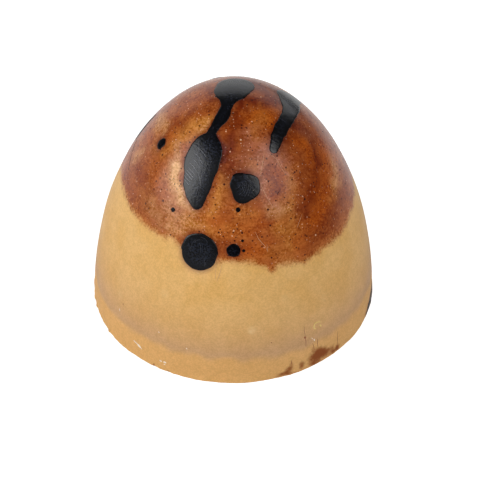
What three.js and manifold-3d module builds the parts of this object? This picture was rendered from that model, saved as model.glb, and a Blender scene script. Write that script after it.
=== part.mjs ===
// A tall domed filled bonbon, cast in a mould and capped flat underneath.
// Millimetres, +Z up. The origin is the centre of the flat base, and the shown face looks along -Y.
import * as THREE from "three";
import { mergeVertices } from "three/addons/utils/BufferGeometryUtils.js";
import Module from "manifold-3d";

const wasm = await Module();
wasm.setup();

// Driving sizes of the dome
const wallRadius = 13.9;        // at the foot, under the lip
const domeHeight = 24.7;
const heightPower = 1.93;       // 2 and 2 would be half an ellipsoid: these are a little fuller
const radiusPower = 1.96;
const leanPerHeight = 0.0068;   // the tip stands a little to the right of the centre of the base

// The thin lip that the scraper leaves round the foot
const lipReach = 0.1;
const lipHeight = 0.4;
const lipWaver = 0.35;          // how unevenly the lip stands out, as a share of its reach

// Fineness of the mesh
const sides = 60;
const ringsAbove = 26;          // from the lip to the tip
const lipRings = [0, 0.2, 0.45, 0.8];

// The black drops stand this far proud of the shell
const dropRelief = 0.1;
const capsuleSides = 12;
const capRings = 3;

// The drops, as chains of discs on a map of the dome flattened out from its tip.
// Each disc is [east, south, radius]: south runs down the front and east down the right side,
// both measured along the surface.
const drops = {
  longDrip: [
    [0.0, -1.75, 1.85], [-0.35, -0.7, 1.65], [-0.6, 0.55, 0.75], [-0.8, 1.4, 0.5],
    [-1.1, 2.4, 0.6], [-1.35, 2.8, 0.5], [-2.25, 4.15, 0.3], [-3.05, 5.8, 1.6],
    [-3.65, 6.9, 1.75], [-4.35, 8.9, 1.4], [-4.55, 9.8, 1.1], [-4.55, 10.4, 0.7],
  ],
  rightDrip: [
    [6.7, -4.1, 0.75], [5.95, -3.1, 1.1], [5.7, -2.2, 1.35], [5.75, -1.1, 1.1], [5.75, 0.0, 0.85],
    [5.6, 1.0, 0.65], [5.3, 1.9, 0.6], [4.85, 3.0, 0.6], [4.45, 4.1, 0.55], [4.15, 5.35, 0.45],
  ],
  fiveSided: [[0.15, 8.6, 0.35], [1.75, 9.15, 0.75], [1.9, 9.7, 0.75], [1.05, 10.05, 0.95], [0.75, 9.35, 1.1]],
  roundDrop: [[-4.6, 15.2, 1.6], [-4.95, 15.5, 1.65]],
  smallRound: [[-0.1, 15.65, 0.68]],
  oval: [[-7.85, 2.7, 0.2], [-8.0, 2.8, 0.4], [-8.35, 2.8, 0.4], [-8.4, 3.1, 0.2]],
  leftStreak: [
    [-9.35, -4.05, 0.1], [-10.3, -4.25, 0.2], [-11.3, -4.15, 0.35], [-12.0, -4.1, 0.35], [-12.6, -3.75, 0.2],
  ],
  rightFoot: [[28.9, 10.0, 0.15], [29.3, 7.9, 0.35], [29.7, 5.2, 0.45], [29.9, 2.6, 0.4], [30.0, 0.5, 0.25]],
  backDrip: [[-1.9, -6.4, 0.5], [-2.3, -8.2, 0.75], [-2.9, -10.3, 1.45], [-3.1, -11.8, 1.3], [-3.2, -13.3, 0.7]],
  backRound: [[5.4, -12.6, 1.3]],
  backSmall: [[1.6, -9.4, 0.6]],
  backOval: [[6.6, -7.3, 0.4], [6.9, -7.7, 0.35]],
};

// Height and radius of the wall where a line at this angle in the profile meets it:
// 0 is the foot and a quarter turn is the tip.
function wallPoint(angle) {
  const height = domeHeight * Math.sin(angle) ** (2 / heightPower);
  const radius = wallRadius * Math.max(Math.cos(angle), 0) ** (2 / radiusPower);
  return new THREE.Vector2(radius, height);
}

// Radius of the wall at a height.
function wallRadiusAt(height) {
  const share = Math.min(height / domeHeight, 1);
  return wallRadius * (1 - share ** heightPower) ** (1 / radiusPower);
}

// The dome's profile from the centre of the base to the tip, moved outward by an offset.
function domeProfile(offset) {
  const profile = [new THREE.Vector2(0, 0)];
  for (const height of lipRings) {
    profile.push(new THREE.Vector2(wallRadiusAt(height) + offset, height));
  }
  const firstAngle = Math.asin((lipRings.at(-1) / domeHeight) ** (heightPower / 2));
  for (let ring = 1; ring < ringsAbove; ring += 1) {
    const angle = firstAngle + (Math.PI / 2 - firstAngle) * ring / ringsAbove;
    const here = wallPoint(angle);
    const outward = new THREE.Vector2(Math.cos(angle), Math.sin(angle));
    profile.push(here.addScaledVector(outward, offset));
  }
  profile.push(new THREE.Vector2(0, domeHeight + offset));
  return profile;
}

// How far the lip stands out at a bearing and a height.
function lipAt(bearing, height) {
  const waver = Math.sin(5 * bearing + 0.7) * Math.sin(8 * bearing + 2.1) + 0.5 * Math.sin(19 * bearing);
  return lipReach * (1 + lipWaver * waver) * Math.exp(-((height / lipHeight) ** 2));
}

// The dome as a turned body with its lip and its lean.
function domeGeometry(offset) {
  const geometry = new THREE.LatheGeometry(domeProfile(offset), sides);
  geometry.rotateX(Math.PI / 2);
  const position = geometry.attributes.position;
  for (let i = 0; i < position.count; i += 1) {
    const x = position.getX(i);
    const y = position.getY(i);
    const z = position.getZ(i);
    const radius = Math.hypot(x, y);
    const grow = radius > 0 ? 1 + lipAt(Math.atan2(x, -y), z) / radius : 1;
    position.setXYZ(i, x * grow + leanPerHeight * z, y * grow, z);
  }
  return geometry;
}

// A closed solid from a geometry: corners joined, empty triangles at the poles left out.
function solidOf(geometry) {
  const bare = geometry.clone();
  bare.deleteAttribute("normal");
  bare.deleteAttribute("uv");
  const joined = mergeVertices(bare, 1e-5);
  const index = joined.index.array;
  const corners = [];
  for (let i = 0; i < index.length; i += 3) {
    const [a, b, c] = [index[i], index[i + 1], index[i + 2]];
    if (a !== b && b !== c && c !== a) {
      corners.push(a, b, c);
    }
  }
  const mesh = { numProp: 3, vertProperties: joined.attributes.position.array };
  const solid = new wasm.Manifold(new wasm.Mesh({ ...mesh, triVerts: new Uint32Array(corners) }));
  if (solid.volume() > 0) {
    return solid;
  }
  return new wasm.Manifold(new wasm.Mesh({ ...mesh, triVerts: new Uint32Array(corners.reverse()) }));
}

// Distance along the surface from the tip, for each of many angles in the profile.
const profileSteps = 400;
const fallAtStep = [0];
for (let step = 1; step <= profileSteps; step += 1) {
  const above = wallPoint((Math.PI / 2) * (1 - (step - 1) / profileSteps));
  const below = wallPoint((Math.PI / 2) * (1 - step / profileSteps));
  fallAtStep.push(fallAtStep[step - 1] + above.distanceTo(below));
}

// The point of the dome at a place on the flattened map.
function onDome(east, south) {
  const fall = Math.min(Math.hypot(east, south), fallAtStep.at(-1));
  const bearing = Math.atan2(east, south);
  let step = 1;
  while (step < profileSteps && fallAtStep[step] < fall) {
    step += 1;
  }
  const share = (fall - fallAtStep[step - 1]) / (fallAtStep[step] - fallAtStep[step - 1]);
  const wall = wallPoint((Math.PI / 2) * (1 - (step - 1 + share) / profileSteps));
  const x = wall.x * Math.sin(bearing) + leanPerHeight * wall.y;
  return new THREE.Vector3(x, -wall.x * Math.cos(bearing), wall.y);
}

// A round-ended rod between two places, with its own radius at each end.
function rodBetween(start, end, startRadius, endRadius) {
  const length = Math.max(start.distanceTo(end), 0.001);
  const profile = [];
  for (let ring = 0; ring <= capRings; ring += 1) {
    const angle = (Math.PI / 2) * ring / capRings;
    profile.push(new THREE.Vector2(startRadius * Math.sin(angle), -startRadius * Math.cos(angle)));
  }
  for (let ring = 0; ring <= capRings; ring += 1) {
    const angle = (Math.PI / 2) * ring / capRings;
    profile.push(new THREE.Vector2(endRadius * Math.cos(angle), length + endRadius * Math.sin(angle)));
  }
  profile[0].x = 0;
  profile[profile.length - 1].x = 0;
  const geometry = new THREE.LatheGeometry(profile, capsuleSides);
  const along = end.clone().sub(start).normalize();
  if (along.lengthSq() > 0) {
    geometry.applyQuaternion(new THREE.Quaternion().setFromUnitVectors(new THREE.Vector3(0, 1, 0), along));
  }
  geometry.translate(start.x, start.y, start.z);
  return solidOf(geometry);
}

// All the rods of one drop, joined. A drop of one disc is a single ball.
function dropSolid(discs) {
  const places = discs.map(([east, south]) => onDome(east, south));
  const last = Math.max(discs.length - 1, 1);
  let solid = null;
  for (let i = 0; i < last; i += 1) {
    const next = Math.min(i + 1, discs.length - 1);
    const rod = rodBetween(places[i], places[next], discs[i][2], discs[next][2]);
    solid = solid ? solid.add(rod) : rod;
  }
  return solid;
}

// The bonbon: the dome, with the drops as low relief on it.
function bonbonSolid() {
  const reliefSpace = solidOf(domeGeometry(dropRelief));
  let solid = solidOf(domeGeometry(0));
  for (const discs of Object.values(drops)) {
    solid = solid.add(dropSolid(discs).intersect(reliefSpace));
  }
  return solid;
}

// A geometry from a solid's vertices and triangles.
function geometryOf(solid) {
  const mesh = solid.getMesh();
  const geometry = new THREE.BufferGeometry();
  geometry.setAttribute("position", new THREE.BufferAttribute(new Float32Array(mesh.vertProperties), 3));
  geometry.setIndex(new THREE.BufferAttribute(new Uint32Array(mesh.triVerts), 1));
  geometry.computeVertexNormals();
  return geometry;
}

const caramelChocolate = new THREE.MeshStandardMaterial({
  name: "caramel_chocolate",
  color: "#d5a864",
  roughness: 0.38,
  metalness: 0,
});

const bonbon = new THREE.Mesh(geometryOf(bonbonSolid()), caramelChocolate);
bonbon.name = "bonbon";

const part = new THREE.Group();
part.name = "filled_bonbon";
part.add(bonbon);

export default part;
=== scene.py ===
# %% [markdown]
# # A tall domed chocolate bonbon
#
# The real bonbon is a thin shell of caramel-coloured chocolate, cast in a polished mould, filled,
# and capped flat underneath. Its colours went into the mould before the chocolate did: black cocoa
# butter was dripped in first, and a brown one was then swirled round with a fingertip. So the
# colours lie in the surface of the shell, and the whole dome shines as smoothly as the mould did.
#
# The measured solid is loaded first. Everything that follows is set out in the same frame, so a new
# piece goes exactly where the solid is.

# %% Load the measured solid
import math

import bmesh
import bpy
import numpy as np
from mathutils import Matrix, Vector


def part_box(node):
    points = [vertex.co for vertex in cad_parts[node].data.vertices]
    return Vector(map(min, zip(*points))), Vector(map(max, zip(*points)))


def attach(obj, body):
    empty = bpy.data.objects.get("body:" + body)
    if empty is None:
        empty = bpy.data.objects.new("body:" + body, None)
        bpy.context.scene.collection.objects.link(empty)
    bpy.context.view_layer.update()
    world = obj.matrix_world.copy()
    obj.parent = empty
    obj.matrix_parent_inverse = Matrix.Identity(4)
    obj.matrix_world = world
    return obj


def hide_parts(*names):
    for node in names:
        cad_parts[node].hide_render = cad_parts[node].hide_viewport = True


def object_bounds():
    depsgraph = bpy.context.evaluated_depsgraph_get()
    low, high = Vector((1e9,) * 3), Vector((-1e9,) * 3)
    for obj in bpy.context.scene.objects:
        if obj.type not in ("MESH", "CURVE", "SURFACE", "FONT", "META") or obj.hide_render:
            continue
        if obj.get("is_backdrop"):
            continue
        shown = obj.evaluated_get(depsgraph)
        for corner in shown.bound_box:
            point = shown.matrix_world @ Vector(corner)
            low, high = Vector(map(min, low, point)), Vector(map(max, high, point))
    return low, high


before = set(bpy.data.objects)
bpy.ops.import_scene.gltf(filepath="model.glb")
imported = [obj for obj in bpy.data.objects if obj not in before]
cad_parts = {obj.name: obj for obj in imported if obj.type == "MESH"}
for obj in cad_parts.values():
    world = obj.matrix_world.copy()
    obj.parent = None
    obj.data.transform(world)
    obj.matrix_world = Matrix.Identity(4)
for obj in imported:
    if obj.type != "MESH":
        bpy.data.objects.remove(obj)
solid_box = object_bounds()

MM = 0.001
foot_corner, tip_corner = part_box("bonbon")
print("the solid is", [round((b - a) / MM, 2) for a, b in zip(foot_corner, tip_corner)], "mm")

# %% [markdown]
# ## The camera
#
# A bonbon this small is photographed from a hand's breadth away with a long lens. A camera can be
# placed by eye, but here its height angle, distance and lens were worked out from how round the
# foot looks and how much the dome narrows, which places every later mark where it belongs. The
# camera looks a little beside the centre of the base, and it is turned there rather than shifted.

# %% Place the camera
PICTURE_SIZE = 480               # pixels on each side
CAMERA_ELEVATION = math.radians(43.15)
CAMERA_DISTANCE = 283.0          # mm from the centre of the base
FOCAL_LENGTH_PIXELS = 2812.0
BASE_CENTRE_PIXEL = (233.33, 284.93)
SENSOR_WIDTH = 36.0


def camera_placement():
    """The camera's matrix, with the centre of the base on its own pixel."""
    right = Vector((1, 0, 0))
    up = Vector((0, math.sin(CAMERA_ELEVATION), math.cos(CAMERA_ELEVATION)))
    ahead = Vector((0, math.cos(CAMERA_ELEVATION), -math.sin(CAMERA_ELEVATION)))
    pan = math.atan2(BASE_CENTRE_PIXEL[0] - PICTURE_SIZE / 2, FOCAL_LENGTH_PIXELS)
    tilt = math.atan2(PICTURE_SIZE / 2 - BASE_CENTRE_PIXEL[1], FOCAL_LENGTH_PIXELS)
    across = right * math.cos(pan) + ahead * math.sin(pan)
    panned = ahead * math.cos(pan) - right * math.sin(pan)
    upward = up * math.cos(tilt) + panned * math.sin(tilt)
    looking = panned * math.cos(tilt) - up * math.sin(tilt)
    matrix = Matrix((across, upward, -looking)).transposed().to_4x4()
    matrix.translation = -ahead * CAMERA_DISTANCE * MM
    return matrix


camera_data = bpy.data.cameras.new("camera")
camera_data.sensor_width = SENSOR_WIDTH
camera_data.lens = SENSOR_WIDTH * FOCAL_LENGTH_PIXELS / PICTURE_SIZE
camera_data.clip_start = 0.01
camera = bpy.data.objects.new("camera", camera_data)
camera.matrix_world = camera_placement()
bpy.context.collection.objects.link(camera)
bpy.context.scene.camera = camera
print("lens", round(camera_data.lens, 1), "mm")

# %% [markdown]
# ## The form of the dome
#
# The mould is a dome of revolution, a little fuller than half an ellipsoid. A profile like that
# could be drawn as a curve with many points, but two powers in one formula hold the same line and
# keep it perfectly smooth, which a glossy surface needs. The dome is measured in two ways here: by
# a bearing, which is 0 at the front and grows to the right, and by the fall, the distance down from
# the tip along the surface.

# %% The dome's profile and places on it
# sizes of the solid's dome, in mm
WALL_RADIUS = 13.9
DOME_HEIGHT = 24.7
HEIGHT_POWER = 1.93
RADIUS_POWER = 1.96
LEAN_PER_HEIGHT = 0.0068         # the tip stands a little to the right
PROFILE_STEPS = 4000

profile_angle = np.linspace(0, math.pi / 2, PROFILE_STEPS)
profile_height = DOME_HEIGHT * np.cos(profile_angle).clip(0) ** (2 / HEIGHT_POWER)
profile_radius = WALL_RADIUS * np.sin(profile_angle) ** (2 / RADIUS_POWER)
profile_step = np.hypot(np.diff(profile_radius), np.diff(profile_height))
profile_fall = np.concatenate([[0], np.cumsum(profile_step)])
outward_radius = -np.gradient(profile_height, profile_fall)
outward_height = np.gradient(profile_radius, profile_fall)
FALL_TO_FOOT = profile_fall[-1]


def height_at(fall):
    return np.interp(fall, profile_fall, profile_height)


def radius_at(fall):
    return np.interp(fall, profile_fall, profile_radius)


def fall_at(height):
    return np.interp(height, profile_height[::-1], profile_fall[::-1])


def on_dome(bearing, fall, lift=0.0):
    """Points in mm at bearings in radians and falls in mm, lifted off the wall by some mm."""
    height = height_at(fall)
    reach = radius_at(fall) + lift * np.interp(fall, profile_fall, outward_radius)
    rise = height + lift * np.interp(fall, profile_fall, outward_height)
    x = reach * np.sin(bearing) + LEAN_PER_HEIGHT * height
    return np.stack([x, -reach * np.cos(bearing), rise], axis=-1)


def from_map(east, south):
    """The bearing and fall of a place on a map of the dome that is flattened out from its tip."""
    return np.arctan2(east, south), np.hypot(east, south)


print("from tip to foot along the surface:", round(FALL_TO_FOOT, 2), "mm")

# %% [markdown]
# ## Unevenness made by sums of waves
#
# Nothing hand-cast is perfectly even. Random numbers for each vertex would look like grit, so the
# slow unevenness is a sum of smooth waves in random directions: it has no seam behind the dome, and
# the same seed always gives the same waves.

# %% Smooth random unevenness
WAVE_COUNT = 26


def waves(points, size, seed):
    """A smooth uneven value near -1 to 1 at each point, with humps about size mm apart."""
    draw = np.random.default_rng(seed)
    direction = draw.normal(size=(WAVE_COUNT, 3))
    direction /= np.linalg.norm(direction, axis=1)[:, None]
    direction *= (2 * math.pi / size) * draw.uniform(0.6, 1.5, (WAVE_COUNT, 1))
    phase = draw.uniform(0, 2 * math.pi, WAVE_COUNT)
    return math.sqrt(2 / WAVE_COUNT) * np.cos(points @ direction.T + phase).sum(axis=1)


def drift(points, reach, size, seed):
    """The points moved about by smooth unevenness, to make drawn shapes look hand-made."""
    return points + reach * np.stack([waves(points, size, seed + i) for i in range(3)], axis=1)


# %% [markdown]
# ## Relief at the foot
#
# When the filled mould is scraped flat, the chocolate leaves a hair-thin lip round the foot, with a
# few specks of flash and some small chips. They are far too small for separate pieces, so they are
# worked into the wall as low relief: each is a soft bump or dent at a bearing and a height.

# %% Relief of the wall, in mm outward
LIP_REACH = 0.085
LIP_HEIGHT = 0.4
LIP_MEAN = 0.75                  # the lip stands out by this share of its reach
LIP_WAVER = 0.3                  # and wavers by this share of it
LIP_GRAIN = 0.4                  # fine unevenness on top of the slow waver
LIP_GRAIN_SIZE = 0.9
BAND_HEIGHT = 2.9                # a faint matter ring at the foot ends here
BAND_STEP = 0.015
BAND_STEP_SOFTNESS = 0.18
SLOW_WAVE_RELIEF = 0.012
SLOW_WAVE_SIZE = 7.0

# bearing in degrees, height, half width across, half height, relief
FLASH_AND_CHIPS = [
    (-90, 0.6, 0.3, 0.4, 0.07), (-82, 0.35, 0.28, 0.5, 0.08), (-77, 0.2, 0.2, 0.25, 0.09),
    (-61, 0.2, 0.22, 0.2, 0.1), (-33, 0.2, 0.25, 0.2, -0.06), (-27, 0.12, 0.3, 0.15, -0.05),
    (-42.3, 1.6, 0.5, 0.2, -0.05), (-29.8, 1.1, 0.4, 0.2, -0.05), (36.4, 4.8, 0.5, 0.35, -0.03),
    (112, 0.3, 0.3, 0.3, 0.1), (151, 0.25, 0.3, 0.2, 0.09), (-140, 0.3, 0.35, 0.25, 0.1),
    (128, 1.6, 0.3, 0.2, -0.06), (-112, 1.2, 0.3, 0.2, -0.06),
]


def bearing_gap(bearing, degrees):
    """The turn in radians from a bearing in degrees to bearings in radians."""
    return (bearing - math.radians(degrees) + math.pi) % (2 * math.pi) - math.pi


def spot(bearing, height, degrees, mark_height, half_width, half_height, sharpness=2):
    """A soft oval on the wall, 1 in its middle: the sharper it is, the flatter its middle."""
    across = bearing_gap(bearing, degrees) * WALL_RADIUS / half_width
    along = (height - mark_height) / half_height
    return np.exp(-((across**2 + along**2) ** sharpness))


def relief(bearing, fall):
    """How far the real wall stands out from the plain profile, in mm."""
    height = height_at(fall)
    points = on_dome(bearing, fall)
    waver = np.sin(5 * bearing + 0.7) * np.sin(8 * bearing + 2.1) + 0.5 * np.sin(19 * bearing)
    waver = waver + LIP_GRAIN * waves(points, LIP_GRAIN_SIZE, 11)
    out = LIP_REACH * (LIP_MEAN + LIP_WAVER * waver) * np.exp(-((height / LIP_HEIGHT) ** 2))
    out = out + SLOW_WAVE_RELIEF * waves(points, SLOW_WAVE_SIZE, 12)
    out = out + BAND_STEP / (1 + np.exp((height - BAND_HEIGHT) / BAND_STEP_SOFTNESS))
    for *oval, amount in FLASH_AND_CHIPS:
        out = out + amount * spot(bearing, height, *oval)
    return out


def on_shell(bearing, fall, lift=0.0):
    """Points on the uneven wall itself, lifted off it by a number of mm."""
    return on_dome(bearing, fall, relief(bearing, fall) + lift)


# %% [markdown]
# ## The brown coat as finger strokes
#
# The brown coat was pushed round inside the mould with a fingertip, so it is thin and golden where
# the finger pressed, and dark where the colour was pushed up into ridges. One dark stroke along the
# left outline is painted shade rather than a ridge. An image could hold this, but it would only fit
# one view. Here each stroke is a short route on the flattened map with a width, and every vertex of
# the shell keeps how strongly each kind of stroke marks it. The routes are bent by a little smooth
# unevenness, so that no edge looks drawn. Besides golden, orange, dark and peach strokes there is a
# pale veil where the finger only grazed the mould, which is also a painted reflection of the right
# softbox on the front right of the dome, and plum where a little black was dragged into the brown.

# %% The strokes, by kind: strength, width in mm, and route as (east, south) in mm from the tip
STROKES = {
    "golden": [
        (1.0, 0.65, [(-5.9, 2.9), (-4.3, 2.7), (-3.0, 3.1)]),
        (0.75, 0.6, [(-7.9, 4.3), (-6.2, 3.9), (-4.6, 3.6), (-3.2, 3.5)]),
        (0.65, 0.6, [(-8.3, -2.3), (-8.5, -0.8), (-8.8, 0.4)]),
        (0.85, 0.65, [(-1.2, 8.9), (-1.5, 9.8), (-2.1, 10.8), (-3.0, 11.6)]),
        (0.55, 0.8, [(-6.9, 11.7), (-5.2, 12.7), (-4.0, 12.6), (-2.9, 13.6)]),
        (0.5, 0.8, [(5.7, 13.2), (6.9, 13.4), (8.0, 12.4)]),
        (0.35, 0.9, [(5.2, 15.3), (6.4, 14.8), (7.4, 14.0)]),
        (0.5, 0.9, [(12.0, 2.2), (13.1, 4.0), (13.3, 6.0)]),
        (0.65, 0.6, [(5.8, 11.8), (6.9, 11.0), (6.9, 9.2), (6.5, 7.5)]),
        (0.6, 0.9, [(7.0, 11.4), (7.2, 14.0)]),
        (0.4, 0.8, [(-12.0, 6.6), (-11.3, 8.2), (-10.2, 9.6)]),
        (0.25, 0.9, [(-9.3, 11.0), (-8.0, 12.2)]),
        (0.45, 0.9, [(0.4, 12.2), (1.8, 11.8)]),
        (0.35, 0.8, [(-0.8, 13.4), (0.8, 13.8)]),
        (1.2, 0.55, [(-4.0, 2.9), (-3.2, 2.9), (-2.5, 2.8)]),
        (0.35, 0.7, [(2.0, 4.3), (2.3, 2.9), (2.8, 1.9)]),
        (0.3, 0.7, [(1.0, 7.0), (1.6, 7.6)]),
        (0.4, 0.7, [(6.0, 9.6), (6.2, 10.4)]),
        (0.8, 0.6, [(5.8, 12.7), (6.5, 12.6), (7.2, 12.7)]),
        (0.35, 0.6, [(6.0, 6.8), (6.5, 7.3)]),
        (0.35, 0.8, [(-10.6, 6.8), (-10.2, 7.8)]),
    ],
    "orange": [
        (1.0, 1.0, [(1.6, 2.9), (2.3, 2.1), (3.3, 2.0), (3.7, 2.7)]),
        (0.9, 0.7, [(6.4, 3.3), (7.7, 3.5), (8.5, 4.4)]),
        (0.5, 1.1, [(-2.4, 12.5), (-1.6, 12.8), (-0.2, 13.4), (1.5, 13.2)]),
        (0.6, 0.9, [(2.6, 12.4), (3.8, 12.8), (5.2, 12.4)]),
        (0.45, 1.0, [(8.6, 13.4), (9.8, 12.4)]),
        (0.95, 0.95, [(4.7, 7.6), (5.2, 9.4)]),
        (0.25, 0.8, [(-9.4, 6.4), (-9.3, 7.6), (-8.9, 8.8)]),
        (0.9, 0.9, [(9.0, 3.6), (9.8, 6.0), (9.6, 8.6)]),
        (0.6, 0.9, [(0.9, 15.6), (3.6, 15.4)]),
        (0.5, 0.7, [(-7.4, 2.6), (-6.2, 2.6)]),
        (0.5, 0.6, [(6.9, 7.0), (7.2, 8.2), (6.9, 9.6)]),
        (0.8, 1.3, [(10.8, 2.6), (11.4, 5.0), (11.4, 8.0), (10.6, 10.6)]),
    ],
    "dark": [
        (0.87, 0.9, [(6.3, 1.7), (7.7, 1.5), (8.8, 2.2), (9.6, 4.0), (9.6, 6.2), (9.3, 8.4),
            (8.9, 10.2)]),
        (0.5, 0.75, [(7.5, 4.8), (8.3, 5.8), (8.8, 7.4), (8.7, 9.0)]),
        (0.95, 0.62, [(0.2, 1.6), (0.8, 0.8), (1.6, 0.5), (2.6, 0.3), (4.0, 0.1)]),
        (0.95, 0.7, [(0.5, 1.8), (0.1, 3.0), (-0.2, 5.0), (-0.6, 6.5), (-0.9, 8.3)]),
        (0.6, 0.75, [(0.9, 4.0), (0.8, 6.4), (0.4, 7.8)]),
        (0.3, 0.7, [(1.5, 2.6), (1.6, 4.2)]),
        # painted shade: this dark stroke darkens the strip along the dome's left outline
        (0.28, 0.9, [(-12.8, -0.9), (-13.6, -0.2), (-14.6, 0.6), (-15.4, 2.0)]),
        (0.34, 1.7, [(-12.0, 3.4), (-11.3, 7.0), (-10.0, 10.0)]),
        (0.35, 1.0, [(10.7, 4.6), (11.0, 7.6), (10.4, 10.0)]),
        (0.25, 0.8, [(3.4, 12.0), (4.6, 12.4)]),
        (0.7, 0.5, [(-1.9, 3.6), (-1.3, 4.6), (-1.4, 6.2)]),
        (0.5, 0.5, [(2.3, -1.4), (1.9, -0.1)]),
        (0.75, 0.5, [(-2.5, 0.2), (-2.1, 1.2)]),
        (0.55, 0.5, [(-7.9, 2.05), (-6.8, 1.75), (-5.4, 1.6), (-4.2, 1.0), (-3.0, 0.8)]),
        (0.4, 0.35, [(-6.6, 2.45), (-5.7, 2.4), (-5.0, 2.2)]),
        (0.2, 0.8, [(-10.9, 4.6), (-10.0, 4.2), (-10.2, 5.6)]),
        (0.5, 1.1, [(10.6, 12.6), (12.8, 9.8), (14.4, 6.8), (14.6, 5.4)]),
        (0.4, 0.9, [(14.6, 5.4), (14.9, 3.4), (14.5, 1.2)]),
        (0.3, 0.6, [(-5.6, -0.4), (-5.1, 0.2)]),
        (0.6, 0.7, [(6.1, 2.4), (6.6, 3.0)]),
        (0.3, 0.6, [(4.1, 11.9), (5.6, 11.7)]),
        (0.35, 0.8, [(-11.0, 4.0), (-10.8, 4.8)]),
        (0.3, 0.9, [(-14.2, 3.4), (-13.8, 4.6)]),
        (0.35, 0.6, [(-1.3, 12.0), (-0.9, 12.6)]),
        (0.4, 0.5, [(4.0, 3.0), (3.6, 4.4)]),
        (1.0, 0.9, [(2.0, -3.0), (2.8, -1.5), (3.8, -0.4)]),
        (0.9, 0.7, [(3.8, -3.0), (4.2, -1.0)]),
        (0.75, 0.6, [(-2.6, -2.3), (-2.3, -0.8)]),
        (0.4, 0.9, [(7.2, -1.4), (8.6, -0.6), (10.4, -0.8)]),
        (0.7, 0.75, [(3.9, 7.6), (4.4, 8.4), (4.9, 9.2)]),
        (0.35, 0.5, [(7.6, 6.2), (7.9, 7.2), (7.9, 8.0)]),
        (0.85, 0.55, [(6.0, 3.1), (5.7, 4.3)]),
        (1.3, 0.5, [(0.3, 1.6), (0.9, 1.05), (1.8, 0.8)]),
        (0.35, 0.5, [(-0.5, 9.2), (-0.7, 10.2)]),
        (0.35, 0.7, [(14.8, 5.3), (14.8, 7.5)]),
        (0.3, 0.7, [(-13.0, 4.6), (-13.5, 5.8)]),
        (0.35, 0.5, [(-2.2, 15.3), (-1.6, 14.7)]),
        (0.35, 0.6, [(1.0, 15.3), (1.6, 15.0)]),
    ],
    "peach": [
        (0.5, 0.5, [(-5.8, 4.4), (-6.2, 5.4), (-6.4, 6.8)]),
        (1.3, 0.85, [(-6.8, 6.4), (-6.8, 7.8), (-6.4, 9.4)]),
        (0.75, 0.6, [(-6.6, 9.6), (-5.9, 10.6), (-5.0, 11.3)]),
        (0.45, 0.8, [(-12.5, 0.4), (-11.4, 1.4)]),
        (0.5, 0.8, [(-8.6, -2.0), (-8.0, -0.4), (-7.8, 1.0)]),
        (0.4, 0.6, [(4.6, 11.4), (5.6, 10.9), (6.6, 10.6)]),
        (0.4, 0.7, [(12.6, 2.4), (13.2, 4.6)]),
        (0.38, 0.9, [(-8.3, 9.8), (-7.6, 11.6), (-5.6, 12.4)]),
        (0.25, 0.9, [(-10.4, 8.8), (-9.9, 11.0)]),
        (0.5, 0.6, [(-8.7, 12.1), (-7.8, 12.4), (-6.9, 12.6)]),
        (0.4, 0.5, [(-3.5, 3.6), (-2.9, 3.4)]),
        (0.3, 0.7, [(-8.7, 2.8), (-9.5, 3.0)]),
    ],
    "plum": [
        (1.05, 0.58, [(-1.7, 4.7), (-1.25, 5.4), (-1.0, 6.2), (-1.0, 6.7)]),
        (0.5, 0.6, [(0.4, 8.0), (1.3, 7.9)]),
        (0.35, 0.6, [(-0.4, 5.2), (-0.1, 6.0)]),
        (0.3, 0.6, [(-1.2, 7.6), (-1.0, 8.6)]),
        (0.35, 0.5, [(4.9, 4.6), (5.4, 5.4)]),
    ],
    # partly a pale veil where the finger grazed the mould, partly a painted reflection of the right
    # softbox
    "veil_and_reflection": [
        (0.8, 0.3, [(3.1, 5.6), (2.95, 6.4), (2.9, 7.4), (2.9, 8.2), (2.8, 8.8), (3.3, 9.6),
            (3.8, 10.2), (4.8, 11.0)]),
        (0.95, 0.4, [(3.1, 5.5), (4.4, 6.1), (5.1, 6.9), (5.8, 7.5)]),
        (0.45, 0.7, [(2.2, 5.2), (3.4, 5.4)]),
        (0.2, 0.35, [(5.8, 7.2), (6.3, 8.4), (6.0, 10.2)]),
        (0.6, 0.7, [(1.5, 4.4), (1.5, 5.6), (1.5, 6.2)]),
        (0.4, 0.6, [(0.2, 7.0), (1.0, 7.0)]),
        (0.5, 0.45, [(3.8, 6.5), (4.5, 6.4), (5.0, 6.1)]),
        (0.35, 0.4, [(5.6, 5.6), (5.9, 6.0)]),
        (0.35, 0.4, [(2.3, 5.9), (2.9, 5.8)]),
        (0.5, 0.28, [(2.45, 7.9), (2.5, 8.7)]),
        (0.35, 0.35, [(6.7, 6.7), (6.95, 7.4), (7.0, 8.4)]),
        (0.22, 0.6, [(7.6, 1.6), (8.4, 1.5)]),
    ],
}


def brush(points, width, route):
    """How strongly a fingertip of this width, drawn along the route, marks each point: 0 to 1."""
    line = on_dome(*from_map(*np.array(route, float).T))
    nearest = np.full(len(points), np.inf)
    for start, end in zip(line[:-1], line[1:]):
        span = end - start
        share = np.clip((points - start) @ span / (span @ span), 0, 1)
        off = np.linalg.norm(points - start - share[:, None] * span, axis=1)
        nearest = np.minimum(nearest, off)
    return np.exp(-((nearest / width) ** 2))


# %% [markdown]
# The back of the bonbon was swirled by the same finger. The photograph doesn't show it, so its
# strokes are drawn at random from a seed: short arcs of the same widths that run round the dome the
# same way.

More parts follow.
